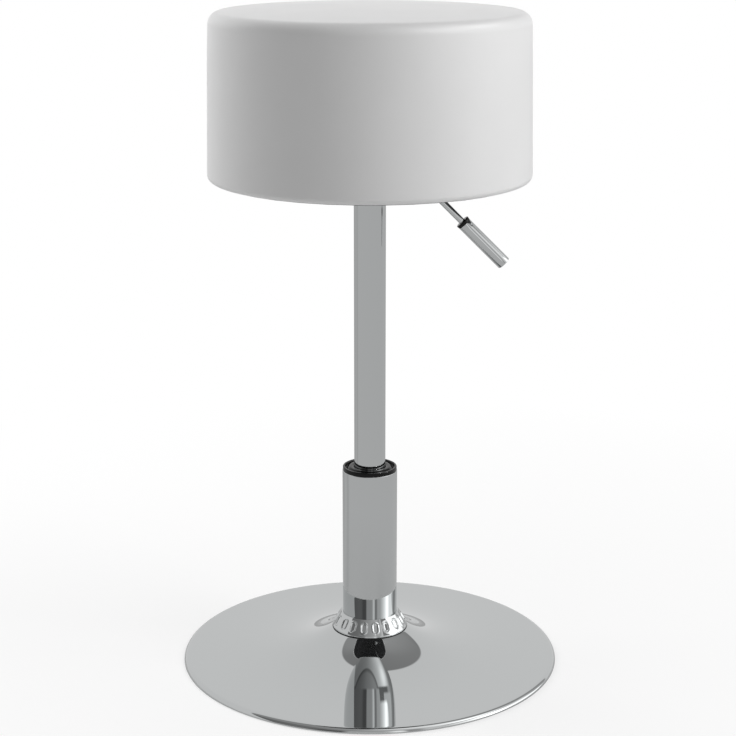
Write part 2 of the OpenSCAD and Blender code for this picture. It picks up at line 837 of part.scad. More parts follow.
module lever_rod() {
    color("silver") difference() {
        union() {
            translate([-lever_tip, 0, pivot_z]) rotate([0, 90, 0])
                cylinder(r = lever_r, h = lever_tip + pivot_x + bend_reach);
            along_lever() {
                sphere(r = lever_r);
                cylinder(r = lever_r, h = lever_len + grip_bore_depth);
            }
            translate([pivot_x, 0, pivot_z]) rotate([90, 0, 0])
                cylinder(r = boss_r, h = boss_w, center = true);
        }
        translate([pivot_x, 0, pivot_z]) rotate([90, 0, 0])
            cylinder(r = pivot_pin_r + running_gap, h = 2 * boss_w, center = true);
    }
}

module lever_grip() {
    bore_r = lever_r + seated_gap;
    spigot_out = grip_dia / 2 * bush_spigot_share + seated_gap;
    color("silver") along_lever() translate([0, 0, lever_len]) rotate_extrude() polygon([
        [spigot_out, 0], [grip_dia / 2, 0], [grip_dia / 2, grip_len - grip_bevel],
        [grip_dia / 2 - grip_bevel, grip_len], [0, grip_len], [0, grip_bore_depth + seated_gap],
        [bore_r, grip_bore_depth + seated_gap], [bore_r, bush_spigot_len + seated_gap],
        [spigot_out, bush_spigot_len + seated_gap]]);
}

module grip_bush() {
    color("black") along_lever() translate([0, 0, lever_len]) rotate_extrude() polygon([
        [lever_r + seated_gap, -bush_collar_t],
        [grip_dia / 2 + bush_collar_proud - bush_collar_t / 4, -bush_collar_t],
        [grip_dia / 2 + bush_collar_proud, -bush_collar_t * 3 / 4],
        [grip_dia / 2, 0], [grip_dia / 2 * bush_spigot_share, 0],
        [grip_dia / 2 * bush_spigot_share, bush_spigot_len],
        [lever_r + seated_gap, bush_spigot_len]]);
}

base_cover();
ballast_ring();
bottom_plate();
flange_screws();
ballast_screws();
floor_pads();
collar();
collar_gasket();
outer_tube();
tube_flange();
tube_floor();
guide_bush();
wiper_ring();
top_cap();
lower_race();
ball_cage();
bearing_balls();
upper_race();
piston_rod();
piston();
piston_seal();
piston_nut();
bump_stop();
clip_washer();
retaining_clip();
gas_cylinder();
rod_guide();
rod_seal();
valve_body();
release_pin();
lift_socket();
seat_plate();
lever_bracket();
pivot_pin();
plate_bolts();
plate_washers();
tee_nuts();
seat_board();
edge_wrap();
foam_block();
soft_pad();
seat_cover();
dust_cloth();
staples();
lever_rod();
lever_grip();
grip_bush();
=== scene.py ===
import json
import math

import bmesh
import bpy
from mathutils import Matrix, Vector

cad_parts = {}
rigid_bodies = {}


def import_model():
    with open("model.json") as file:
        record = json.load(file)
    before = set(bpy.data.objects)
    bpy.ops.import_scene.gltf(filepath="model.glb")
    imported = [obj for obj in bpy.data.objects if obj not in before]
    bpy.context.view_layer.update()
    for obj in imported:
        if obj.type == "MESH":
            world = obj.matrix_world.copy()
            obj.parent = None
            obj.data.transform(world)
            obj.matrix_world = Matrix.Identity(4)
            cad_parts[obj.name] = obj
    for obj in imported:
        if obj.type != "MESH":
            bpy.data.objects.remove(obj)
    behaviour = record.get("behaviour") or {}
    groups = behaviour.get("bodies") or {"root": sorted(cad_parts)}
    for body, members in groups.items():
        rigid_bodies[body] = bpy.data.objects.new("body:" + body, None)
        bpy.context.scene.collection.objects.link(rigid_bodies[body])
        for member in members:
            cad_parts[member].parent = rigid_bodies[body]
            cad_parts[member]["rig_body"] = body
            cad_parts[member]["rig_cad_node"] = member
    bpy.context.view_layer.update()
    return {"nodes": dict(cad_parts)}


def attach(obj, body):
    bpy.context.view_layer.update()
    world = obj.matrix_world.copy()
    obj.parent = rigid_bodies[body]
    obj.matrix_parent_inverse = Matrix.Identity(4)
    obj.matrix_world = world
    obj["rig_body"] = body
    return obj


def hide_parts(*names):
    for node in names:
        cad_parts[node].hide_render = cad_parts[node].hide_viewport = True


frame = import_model()
bpy.ops.object.select_all(action="DESELECT")


# ---------------------------------------------------------------------------------------------
# The dish. A sheet of steel spun to a shallow dish with a rounded rim, then chromed.
# It is almost level at the rim and climbs ever more steeply to the column's neck.

MM = 0.001


class Lead:
    """A value on its way through a material, which can be added to and multiplied as a number."""

    def __init__(self, tree, socket):
        self.tree, self.socket = tree, socket

    def node(self, kind, sockets=None, out=0, stops=None, **settings):
        made = self.tree.nodes.new(kind)
        for name, value in settings.items():
            setattr(made, name, value)
        if stops:
            ramp = made.color_ramp
            while len(ramp.elements) < len(stops):
                ramp.elements.new(0.5)
            for element, (place, shade) in zip(ramp.elements, stops):
                element.position = place
                element.color = (shade, shade, shade, 1)
        for name, value in (sockets or {}).items():
            if isinstance(value, Lead):
                self.tree.links.new(value.socket, made.inputs[name])
            else:
                made.inputs[name].default_value = value
        return Lead(self.tree, made.outputs[out])

    def worked(self, operation, one, other):
        return self.node("ShaderNodeMath", {0: one, 1: other}, operation=operation)

    def __add__(self, other):
        return self.worked("ADD", self, other)

    def __mul__(self, other):
        return self.worked("MULTIPLY", self, other)

    __rmul__ = __mul__

    def __sub__(self, other):
        return self.worked("SUBTRACT", self, other)

    def __rsub__(self, other):
        return self.worked("SUBTRACT", other, self)

    def __truediv__(self, other):
        return self.worked("DIVIDE", self, other)

    def __pow__(self, other):
        return self.worked("POWER", self, other)

    def span(self, low, high, to_low=0.0, to_high=1.0):
        """This value, stretched so that low becomes to_low and high to_high, and no further."""
        return self.node("ShaderNodeMapRange", {
            "Value": self, "From Min": low, "From Max": high, "To Min": to_low, "To Max": to_high})

    def part(self, axis):
        return self.node("ShaderNodeSeparateXYZ", {"Vector": self}, out=axis)

    def noise(self, scale, detail, roughness=0.5):
        return self.node("ShaderNodeTexNoise", {
            "Vector": self, "Scale": scale, "Detail": detail, "Roughness": roughness})

    def stretched(self, scale):
        return self.node("ShaderNodeMapping", {"Vector": self, "Scale": scale})

    def blend(self, share, one, other):
        """The colour one where share is 0 and the colour other where it is 1."""
        made = self.tree.nodes.new("ShaderNodeMix")
        made.data_type = "RGBA"
        self.tree.links.new(share.socket, made.inputs[0])
        for place, colour in ((6, one), (7, other)):
            if isinstance(colour, Lead):
                self.tree.links.new(colour.socket, made.inputs[place])
            else:
                made.inputs[place].default_value = (*colour, 1)
        return Lead(self.tree, made.outputs[2])


class Finish:
    """A material: plain numbers are set on its shader, and set() links what varies over it."""

    def __init__(self, name, colour, roughness, **plain):
        self.material = bpy.data.materials.new(name)
        self.material.use_nodes = True
        self.tree = self.material.node_tree
        self.shader = self.tree.nodes["Principled BSDF"]
        self.shader.inputs["Base Color"].default_value = (*colour, 1)
        self.shader.inputs["Roughness"].default_value = roughness
        for name, value in plain.items():
            self.shader.inputs[name.replace("_", " ")].default_value = value
        made = self.tree.nodes.new("ShaderNodeTexCoord")
        self.place = Lead(self.tree, made.outputs["Object"])

    def set(self, **varying):
        for name, lead in varying.items():
            self.tree.links.new(lead.socket, self.shader.inputs[name.replace("_", " ")])
        return self

    def bumped(self, height, depth, strength):
        """Raises the surface by height times depth, in metres."""
        return self.set(Normal=height.node("ShaderNodeBump", {
            "Height": height, "Distance": depth, "Strength": strength}))


def chrome_finish():
    """Bright chrome plate, a touch duller in soft clouds where cloths have wiped it."""
    made = Finish("chrome_plate", (0.545, 0.558, 0.56), 0.03, Metallic=1.0)
    clouds = made.place.noise(9.0, 3.0)
    wiping = made.place.stretched((60.0, 60.0, 9.0)).noise(5.0, 2.0)
    return made.set(
        Roughness=clouds.span(0.35, 0.7, 0.018, 0.034) + wiping.span(0.55, 0.8, 0.0, 0.01))


chrome = chrome_finish()


SMOOTH_BELOW = math.radians(32)


def turned(name, outline, sides=256):
    """A piece turned on the column's axis. A ring is set down at the outline's first point
    (radius, height, in millimetres) and pulled out from point to point. A radius of 0 closes it
    in a pole, and an outline without poles is joined up to a closed one."""
    bpy.ops.object.select_all(action="DESELECT")
    pole_first = outline[0][0] == 0
    points = outline[1:] if pole_first else outline
    (r, z), rest = points[0], points[1:]
    bpy.ops.mesh.primitive_circle_add(vertices=sides, radius=r * MM, location=(0, 0, z * MM))
    piece = bpy.context.object
    piece.name = piece.data.name = name
    bpy.ops.object.transform_apply()
    bpy.ops.object.mode_set(mode="EDIT")
    if pole_first:
        bpy.ops.mesh.extrude_edges_move(
            TRANSFORM_OT_translate={"value": (0, 0, (outline[0][1] - z) * MM)})
        bpy.ops.mesh.merge(type="CENTER")
        bpy.ops.mesh.select_all(action="DESELECT")
        mesh = bmesh.from_edit_mesh(piece.data)
        for v in mesh.verts:
            v.select = v.co.xy.length > r * MM / 2
        mesh.select_flush(True)
        mesh.select_flush_mode()
        bmesh.update_edit_mesh(piece.data)
    for r_next, z_next in rest:
        bpy.ops.mesh.extrude_edges_move(TRANSFORM_OT_translate={"value": (0, 0, (z_next - z) * MM)})
        if r_next == 0:
            bpy.ops.mesh.merge(type="CENTER")
        else:
            bpy.ops.transform.resize(
                value=(r_next / r, r_next / r, 1), center_override=(0, 0, z_next * MM))
        r, z = r_next, z_next
    bpy.ops.mesh.select_all(action="SELECT")
    if outline[0][0] > 0 and outline[-1][0] > 0:
        bpy.ops.mesh.select_all(action="DESELECT")
        bpy.ops.mesh.select_non_manifold()
        bpy.ops.mesh.bridge_edge_loops()
        bpy.ops.mesh.select_all(action="SELECT")
    bpy.ops.mesh.remove_doubles(threshold=0.005 * MM)
    bpy.ops.mesh.normals_make_consistent(inside=False)
    bpy.ops.object.mode_set(mode="OBJECT")
    bpy.ops.object.shade_smooth_by_angle(angle=SMOOTH_BELOW)
    return piece


def arc(x, z, radius, start, end, steps):
    """Points on a round edge of the outline, from one angle to another, in degrees."""
    return [(x + radius * math.cos(math.radians(start + (end - start) * i / steps)),
             z + radius * math.sin(math.radians(start + (end - start) * i / steps)))
            for i in range(steps + 1)]


def spread(first, last, steps):
    """Values in even steps from first to last, both of them included."""
    return [first + (last - first) * i / steps for i in range(steps + 1)]


def dressed(piece, finish, body, slot, *nodes):
    """Gives the piece its material, puts it on its body and hides the solids it stands for. The
    slot is not used.
    """
    piece.data.materials.clear()
    piece.data.materials.append(finish.material)
    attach(piece, body)
    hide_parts(*nodes)


def carried(finish, *nodes):
    """Gives solids that are right as they are a better material."""
    for node in nodes:
        for place in frame["nodes"][node].material_slots:
            place.material = finish.material


BASE_R = 178.0
RIM_H = 4.9
PAD_T = 0.6
RIM_ROUND = RIM_H - PAD_T
DISH_END = BASE_R - RIM_ROUND
NECK_R = 36.0
NECK_HOLE_GAP = 0.5
COVER_T = 1.5
INNER_T = COVER_T * 1.1
TUBE_R = 25.7
DISH_RISE = 24.0
DISH_REACH = 33.0
DISH_POWER = 1.08
DISH_STEPS = 90
DISH_CROWDING = 1.6
DISH_SIDES = 384


def dish_z(r):
    """The height of the dish's upper side, which falls from the neck to the top of the rim."""
    fall, last = [math.exp(-((radius - NECK_R) / DISH_REACH) ** DISH_POWER)
                  for radius in (r, DISH_END)]
    return RIM_H + DISH_RISE * (fall - last) / (1 - last)


dish_rings = [NECK_R + (DISH_END - NECK_R) * (i / DISH_STEPS) ** DISH_CROWDING
              for i in range(DISH_STEPS + 1)]
NECK_Z = dish_z(NECK_R)
NECK_HOLE_R = TUBE_R + NECK_HOLE_GAP
dish = turned("dish", [(NECK_HOLE_R, NECK_Z - COVER_T), (NECK_HOLE_R, NECK_Z)]
              + [(r, dish_z(r)) for r in dish_rings]
              + arc(DISH_END, PAD_T, RIM_ROUND, 80, 0, 8)
              + arc(DISH_END, PAD_T, RIM_ROUND - COVER_T, 0, 90, 6)
              + [(r, dish_z(r) - INNER_T) for r in reversed(dish_rings[2:-1:3])], DISH_SIDES)
dressed(dish, chrome, "base", "chrome", "base_cover")


# ---------------------------------------------------------------------------------------------
# Under the dish. A black steel disc closes the base and holds the cast ballast, and a welded
# flange holds the tube. Countersunk screws go up through the disc, and felt pads are glued on.

def coat_finish():
    """Black powder coat on steel, with its fine orange peel."""
    made = Finish("black_powder_coat", (0.018, 0.018, 0.019), 0.42, Specular_IOR_Level=0.45)
    peel = made.place.noise(950.0, 2.0)
    made.set(Roughness=made.place.noise(40.0, 3.0).span(0.3, 0.7, 0.36, 0.5))
    return made.bumped(peel, 0.00012, 0.5)


def zinc_finish():
    """Zinc-plated steel of screws and washers, with fine drawing marks and a faint warm tarnish."""
    made = Finish("zinc_plate", (0.62, 0.63, 0.64), 0.28, Metallic=1.0)
    spots = made.place.noise(260.0, 4.0)
    colour = spots.blend(spots.span(0.4, 0.7), (0.64, 0.65, 0.66), (0.56, 0.55, 0.52))
    return made.set(Base_Color=colour, Roughness=spots.span(0.3, 0.7, 0.2, 0.38))


def iron_finish():
    """Grey cast iron with a sandy skin."""
    made = Finish("cast_iron", (0.09, 0.09, 0.09), 0.7, Metallic=0.6)
    sand = made.place.noise(700.0, 4.0, 0.6)
    made.set(Base_Color=sand.blend(sand.span(0.35, 0.7), (0.07, 0.07, 0.072), (0.13, 0.125, 0.12)))
    return made.bumped(sand, 0.0003, 0.6)


def felt_finish():
    """Dark pressed felt, matted fibres."""
    made = Finish("felt", (0.05, 0.05, 0.052), 0.95, Sheen_Weight=0.4, Sheen_Roughness=0.6)
    fibre = made.place.noise(2400.0, 3.0, 0.7)
    made.set(Base_Color=fibre.blend(
        fibre.span(0.3, 0.75), (0.035, 0.035, 0.037), (0.085, 0.085, 0.09)))
    return made.bumped(fibre, 0.0002, 0.7)


coat = coat_finish()
zinc = zinc_finish()
iron = iron_finish()
felt = felt_finish()
carried(coat, "bottom_plate", "tube_flange")
carried(zinc, "flange_screws", "ballast_screws")
carried(iron, "ballast_ring")
carried(felt, "floor_pads")


# ---------------------------------------------------------------------------------------------
# The standing tube. Chromed steel tube, welded to the flange inside the base, with a small
# round on its top edge.

TUBE_BORE = 24.2
TUBE_FOOT = 2.1
TUBE_TOP = 186.0
EDGE = 0.3
TUBE_STEPS = 12
tube = turned("standing_tube", [(TUBE_BORE, TUBE_TOP), (TUBE_BORE, TUBE_FOOT)]
              + [(TUBE_R, z) for z in spread(TUBE_FOOT, TUBE_TOP - EDGE, TUBE_STEPS)]
              + arc(TUBE_R - EDGE, TUBE_TOP - EDGE, EDGE, 30, 90, 3))
dressed(tube, chrome, "base", "chrome", "outer_tube")


# ---------------------------------------------------------------------------------------------
# The collar. A chromed die-cast cone that hides the hole in the dish, with a ring of upright
# oval windows pressed in it, each with a raised rim. It sits on a thin black rubber gasket.

COLLAR_Z0 = 29.7
COLLAR_Z1 = 45.0
COLLAR_FOOT = 35.6
COLLAR_TOP = 27.1
COLLAR_LIP = 1.4
COLLAR_BORE = TUBE_R + 0.05
COLLAR_HOLLOW_H = 9.0
COLLAR_WALL = 2.0
WINDOWS = 18
WINDOW_HALF_W = 2.6
WINDOW_HALF_H = 4.9
WINDOW_DEEP = 0.6
RIM_PROUD = 0.55
RIM_WIDE = 0.65
PRESS_SOFTNESS = 0.16
SLOPE_MARGIN = 0.2
SLOPE_STEPS = 44
SLOPE_TOLERANCE = 0.05
COLLAR_SIDES = WINDOWS * 30
collar = turned("neck_collar", [
    (COLLAR_BORE, COLLAR_Z1), (COLLAR_BORE, COLLAR_Z0 + COLLAR_HOLLOW_H),
    (COLLAR_FOOT - COLLAR_WALL, COLLAR_Z0), (COLLAR_FOOT - EDGE, COLLAR_Z0),
    (COLLAR_FOOT, COLLAR_Z0 + EDGE)]
    + list(zip(spread(COLLAR_FOOT, COLLAR_TOP, SLOPE_STEPS),
               spread(COLLAR_Z0 + COLLAR_LIP, COLLAR_Z1, SLOPE_STEPS))), COLLAR_SIDES)
run = Vector((COLLAR_TOP - COLLAR_FOOT, COLLAR_Z1 - COLLAR_Z0 - COLLAR_LIP))
along, out = run.normalized(), Vector((run.y, -run.x)).normalized()
for v in collar.data.vertices:
    radius, height = v.co.xy.length / MM, v.co.z / MM
    place = Vector((radius - COLLAR_FOOT, height - COLLAR_Z0 - COLLAR_LIP))
    on_slope = SLOPE_MARGIN < place.dot(along) < run.length - SLOPE_MARGIN
    if abs(place.dot(out)) > SLOPE_TOLERANCE or not on_slope:
        continue
    turn = math.atan2(v.co.y, v.co.x) / math.tau * WINDOWS + 0.5
    across = (turn - math.floor(turn) - 0.5) * math.tau * radius / WINDOWS
    up = place.dot(along) - run.length / 2
    straight = max(0.0, abs(up) - (WINDOW_HALF_H - WINDOW_HALF_W))
    gap = math.hypot(across, straight) - WINDOW_HALF_W
    inside = 1 / (1 + math.exp(gap / PRESS_SOFTNESS))
    raised = RIM_PROUD * math.exp(-(gap / RIM_WIDE) ** 2) - WINDOW_DEEP * inside
    scale = 1 + raised * out.x / radius
    v.co.x *= scale
    v.co.y *= scale
    v.co.z += raised * out.y * MM
collar.data.update()
bpy.ops.object.shade_smooth_by_angle(angle=math.radians(50))
dressed(collar, chrome, "base", "chrome", "collar")


def rubber_finish():
    """Matt black rubber."""
    made = Finish("black_rubber", (0.012, 0.012, 0.012), 0.6, Specular_IOR_Level=0.35)
    grain = made.place.noise(1500.0, 2.0)
    made.set(Roughness=grain.span(0.3, 0.7, 0.5, 0.7))
    return made.bumped(grain, 0.00008, 0.4)


rubber = rubber_finish()
carried(rubber, "collar_gasket")


# ---------------------------------------------------------------------------------------------
# The mouth of the tube. A black moulded cap with a groove in its top, round the gas cylinder, a
# felt wiper under it, and inside the tube a ribbed white bush that the cylinder slides in.

CAP_R = 25.3
CAP_TOP = 189.8
CAP_ROUND = 0.8
CAP_BORE = 14.9
CAP_RING = 189.65
CAP_GROOVE = 187.0
CAP_WEB_Z = 184.0
SKIRT_R = 24.15
SKIRT_WALL = 2.4
SKIRT_Z0 = 178.0
GROOVE_OUTER = [(23.6, CAP_TOP), (23.35, CAP_TOP - 0.1), (23.25, CAP_TOP - 0.3)]
GROOVE_FLOOR = [(22.7, CAP_GROOVE + 0.15), (22.5, CAP_GROOVE), (22.3, CAP_GROOVE + 0.1)]
GROOVE_INNER = [(19.4, CAP_RING - 0.3), (19.2, CAP_RING - 0.1), (18.95, CAP_RING)]
BORE_EDGE = [(15.9, CAP_RING), (15.5, CAP_RING - 0.15), (CAP_BORE, CAP_RING - 0.9)]
cap = turned("tube_cap", [
    (CAP_BORE, CAP_WEB_Z), (SKIRT_R - SKIRT_WALL, CAP_WEB_Z), (SKIRT_R - SKIRT_WALL, SKIRT_Z0),
    (SKIRT_R, SKIRT_Z0), (SKIRT_R, TUBE_TOP), (CAP_R, TUBE_TOP)]
    + arc(CAP_R - CAP_ROUND, CAP_TOP - CAP_ROUND, CAP_ROUND, 0, 90, 6)
    + GROOVE_OUTER + GROOVE_FLOOR + GROOVE_INNER + BORE_EDGE)


def moulding_finish(name, shade, low, high):
    """Moulded plastic with a faint spark-eroded grain."""
    made = Finish(name, shade, (low + high) / 2, Specular_IOR_Level=0.22)
    grain = made.place.noise(1300.0, 3.0)
    made.set(Roughness=grain.span(0.3, 0.7, low, high))
    return made.bumped(grain, 0.00002, 0.2)


black_moulding = moulding_finish("black_moulding", (0.002, 0.002, 0.002), 0.05, 0.08)
white_moulding = moulding_finish("white_moulding", (0.72, 0.71, 0.67), 0.34, 0.46)
dressed(cap, black_moulding, "base", "black_plastic", "top_cap")
carried(white_moulding, "guide_bush")
carried(felt, "wiper_ring")


# ---------------------------------------------------------------------------------------------
# The foot bearing, the rod and the piston. The rod stands still while the seat slides: its foot
# turns on a ball race on the tube's floor and is held there by a washer and a spring clip.

def brass_finish():
    """Machined brass with turning marks."""
    made = Finish("machined_brass", (0.68, 0.5, 0.24), 0.25, Metallic=1.0)
    marks = made.place.stretched((1.0, 1.0, 60.0)).noise(90.0, 2.0)
    return made.set(Roughness=marks.span(0.3, 0.7, 0.16, 0.34))


brass = brass_finish()
carried(zinc, "tube_floor", "lower_race", "upper_race", "bearing_balls", "clip_washer",
        "retaining_clip", "piston_nut")
carried(chrome, "piston_rod")
carried(brass, "ball_cage", "piston", "rod_guide", "valve_body")
carried(rubber, "piston_seal", "rod_seal", "bump_stop")


# ---------------------------------------------------------------------------------------------
# The gas cylinder. A long chromed cylinder, crimped at its foot and tapered at its top, where
# it is pressed in the seat's socket. The release pin stands up out of its end.

CYLINDER_R = 14.6
CYLINDER_BORE = 12.4
CYLINDER_Z0 = 146.0
TAPER_Z0 = 441.5
CYLINDER_Z1 = 466.0
CYLINDER_STEPS = 20
CYLINDER_SIDES = 192
CRIMP_T = 1.5
CRIMP_BORE = 9.0
FOOT_CHAMFER = 0.5
TAPER_IN = 0.8
PIN_BORE = 2.58
HEAD_T = 18.0
cylinder_heights = spread(CYLINDER_Z0 + FOOT_CHAMFER, TAPER_Z0, CYLINDER_STEPS)
cylinder = turned("gas_cylinder_tube", [
    (CYLINDER_BORE, CYLINDER_Z0 + CRIMP_T), (CRIMP_BORE, CYLINDER_Z0 + CRIMP_T),
    (CRIMP_BORE, CYLINDER_Z0), (CYLINDER_R - FOOT_CHAMFER, CYLINDER_Z0)]
    + [(CYLINDER_R, z) for z in cylinder_heights]
    + [(CYLINDER_R - TAPER_IN, CYLINDER_Z1 - EDGE), (CYLINDER_R - TAPER_IN - EDGE, CYLINDER_Z1),
       (PIN_BORE, CYLINDER_Z1), (PIN_BORE, CYLINDER_Z1 - HEAD_T),
       (CYLINDER_BORE, CYLINDER_Z1 - HEAD_T)], CYLINDER_SIDES)
dressed(cylinder, chrome, "column", "chrome", "gas_cylinder")
carried(zinc, "release_pin")


# ---------------------------------------------------------------------------------------------
# The seat plate. A pressed square steel plate with the tapered socket welded in its middle and
# two ears for the lever, powder-coated black and bolted to tee nuts in the seat board.

def eased(node, name, width, finish, body, slot):
    """A copy of a solid with its sharp edges eased, which then stands for it."""
    bpy.ops.object.select_all(action="DESELECT")
    piece = frame["nodes"][node].copy()
    piece.data = piece.data.copy()
    piece.parent = None
    piece.name = piece.data.name = name
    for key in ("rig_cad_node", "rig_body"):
        del piece[key]
    bpy.context.scene.collection.objects.link(piece)
    piece.select_set(True)
    bpy.context.view_layer.objects.active = piece
    bpy.ops.object.mode_set(mode="EDIT")
    bpy.ops.mesh.select_all(action="SELECT")
    bpy.ops.mesh.remove_doubles(threshold=0.002 * MM)
    bpy.ops.mesh.dissolve_limited(angle_limit=math.radians(1))
    bpy.ops.mesh.normals_make_consistent(inside=False)
    bpy.ops.object.mode_set(mode="OBJECT")
    bpy.ops.object.modifier_add(type="BEVEL")
    bevel = piece.modifiers[-1]
    bevel.width, bevel.segments, bevel.limit_method = width * MM, 3, "ANGLE"
    bevel.angle_limit = math.radians(40)
    bpy.ops.object.modifier_apply(modifier=bevel.name)
    bpy.ops.object.shade_smooth_by_angle(angle=SMOOTH_BELOW)
    dressed(piece, finish, body, slot, node)


def oxide_finish():
    """Steel blackened in a hot bath, with a thin film of oil that has dried in spots."""
    made = Finish("blackened_steel", (0.03, 0.03, 0.032), 0.45, Metallic=0.7)
    spots = made.place.noise(300.0, 3.0)
    return made.set(Roughness=spots.span(0.3, 0.7, 0.36, 0.55))


dark_steel = oxide_finish()
eased("seat_plate", "mount_plate", 0.5, coat, "column", "black_steel")
eased("plate_bolts", "mount_bolts", 0.3, dark_steel, "column", "steel")
eased("lift_socket", "mount_socket", 0.4, coat, "column", "black_steel")
carried(coat, "lever_bracket")
carried(dark_steel, "plate_washers")
carried(zinc, "pivot_pin", "tee_nuts")


# ---------------------------------------------------------------------------------------------
# The seat board. A disc of birch plywood, thin plies light and dark at its edge, which carries
# the padding. A pocket in its underside makes room for the cylinder's head and the lever.

PLY_T = 0.0015


def plywood_finish():
    """Birch plywood: long grain on its faces and thin plies, light and dark, on its cut edges."""
    made = Finish("birch_plywood", (0.62, 0.45, 0.28), 0.6)
    grain = made.place.stretched((6.0, 70.0, 6.0)).noise(8.0, 4.0, 0.6)
    face = grain.blend(grain.span(0.3, 0.7), (0.66, 0.49, 0.31), (0.5, 0.34, 0.2))
    height = made.place.part("Z")
    ply = height.worked("PINGPONG", height, PLY_T) / PLY_T
    upright = made.place.node("ShaderNodeNewGeometry", out="Normal").part("Z")
    side = 1.0 - upright.worked("ABSOLUTE", upright, 0.0)
    edge = ply.blend(ply.span(0.3, 0.7), (0.6, 0.42, 0.25), (0.36, 0.22, 0.12))
    made.set(Base_Color=side.blend(side.span(0.4, 0.6), face, edge))
    return made.bumped(grain, 0.0002, 0.4)


plywood = plywood_finish()
carried(plywood, "seat_board")


# ---------------------------------------------------------------------------------------------
# The cushion. A drum of foam with a soft pad on top, covered in one smooth piece of white
# leatherette. It is drawn down over the board and stapled in small folds on its underside.

SEAT_FOOT_R = 146.3
SEAT_TOP_R = 143.7
SEAT_UNDER = 462.1
SEAT_TOP = 610.8
CROWN = 4.0
TOP_EDGE = 11.0
TOP_LEAN = 0.4
LEAN_POWER = 9
FOOT_EDGE = 5.0
HEM_R = 120.3
BOARD_R = 140.1
BOARD_Z0 = 463.3
BOARD_Z1 = 481.3
HEM_FOLDS = 36
FOLD_HANG = 0.35
SMALL_FOLD_HANG = 0.5
FOLD_END_R = SEAT_FOOT_R - 1.5
HEM_STEPS = 16
SIDE_STEPS = 40
CROWN_STEPS = 36
SEAT_SIDES = 288
BOARD_FIT = 0.2
BOARD_TOP_FIT = 0.05
BOARD_UNDER_FIT = 0.02
SKIN_ROUND = 1.2
SKIN_DROP = 0.35
side_top_r = SEAT_TOP_R - TOP_LEAN
side_z0 = SEAT_UNDER + FOOT_EDGE
side_z1 = SEAT_TOP - TOP_EDGE
side_heights = spread(side_z0, side_z1, SIDE_STEPS)
crown_span = side_top_r - TOP_EDGE
crown_radius = (crown_span ** 2 + CROWN ** 2) / (2 * CROWN)
crown_angle = math.asin(crown_span / crown_radius)
crown_points = [
    (crown_radius * math.sin(a), SEAT_TOP + CROWN - crown_radius + crown_radius * math.cos(a))
    for a in (crown_angle * (1 - (i + 1) / CROWN_STEPS) for i in range(CROWN_STEPS - 1))]
side_radii = spread(SEAT_FOOT_R, SEAT_TOP_R, SIDE_STEPS)
side_points = [(side_radii[i] - TOP_LEAN * (i / SIDE_STEPS) ** LEAN_POWER, side_heights[i])
               for i in range(1, SIDE_STEPS)]
hem_points = [(r, SEAT_UNDER) for r in spread(HEM_R, SEAT_FOOT_R - FOOT_EDGE, HEM_STEPS)[:-1]]
board_top = BOARD_Z1 + BOARD_TOP_FIT
board_under = BOARD_Z0 - BOARD_UNDER_FIT
cushion = turned("cushion", [
    (0, board_top), (20.0, board_top), (60.0, board_top), (BOARD_R + BOARD_FIT, board_top),
    (BOARD_R + BOARD_FIT, board_under), (HEM_R + SKIN_ROUND, board_under),
    (HEM_R, BOARD_Z0 - SKIN_DROP)]
    + hem_points
    + arc(SEAT_FOOT_R - FOOT_EDGE, side_z0, FOOT_EDGE, -90, 0, 14)
    + side_points
    + arc(side_top_r - TOP_EDGE, side_z1, TOP_EDGE, 0, 90 - math.degrees(crown_angle), 22)
    + crown_points + [(0, SEAT_TOP + CROWN)], SEAT_SIDES)


def fold_drop(v):
    """How far a fold of the hem hangs below the level hem, between two staples."""
    angle = math.atan2(v.co.y, v.co.x)
    fold = (0.5 - 0.5 * math.cos(HEM_FOLDS * angle)) ** 6
    second = (0.5 - 0.5 * math.cos(2 * HEM_FOLDS * angle)) ** 4 * (0.2 + 0.15 * math.sin(5 * angle))
    fade = min(1.0, max(0.0, (FOLD_END_R - v.co.xy.length / MM) / (FOLD_END_R - HEM_R))) ** 0.8
    return (FOLD_HANG * fold + SMALL_FOLD_HANG * second) * fade * MM


for v in cushion.data.vertices:
    radius, height = v.co.xy.length / MM, v.co.z / MM
    off_board = height < BOARD_Z0 - 0.5 or radius > BOARD_R + 1
    if height < side_z0 and radius > HEM_R - 1 and off_board:
        v.co.z -= fold_drop(v)


def leatherette_finish():
    """White leatherette, embossed with a fine close grain, and a touch duller in its pits."""
    made = Finish("white_leatherette", (0.8, 0.8, 0.8), 0.42, Specular_IOR_Level=0.45)
    drift = made.place.noise(420.0, 2.0)
    cell = made.place.node("ShaderNodeTexVoronoi", {
        "Vector": made.place.node("ShaderNodeVectorMath", {
            0: made.place, 1: drift.node("ShaderNodeVectorMath", {0: drift, "Scale": 0.0006},
                                         operation="SCALE")}, operation="ADD"),
        "Scale": 1150.0}, feature="DISTANCE_TO_EDGE")
    grain = cell.span(0.0, 0.16)
    tint = made.place.noise(14.0, 2.0)
    made.set(
        Base_Color=tint.blend(tint.span(0.35, 0.65), (0.795, 0.795, 0.795), (0.81, 0.81, 0.81)),
        Roughness=grain.span(0.0, 1.0, 0.52, 0.42))
    return made.bumped(grain, 0.00005, 0.35)


def foam_finish():
    """Cut foam with its open cells."""
    made = Finish("cut_foam", (0.74, 0.69, 0.52), 0.95)
    cells = made.place.node("ShaderNodeTexVoronoi", {"Vector": made.place, "Scale": 900.0})
    made.set(Base_Color=cells.blend(cells.span(0.1, 0.6), (0.5, 0.45, 0.32), (0.76, 0.71, 0.55)))
    return made.bumped(cells, 0.0005, 0.8)


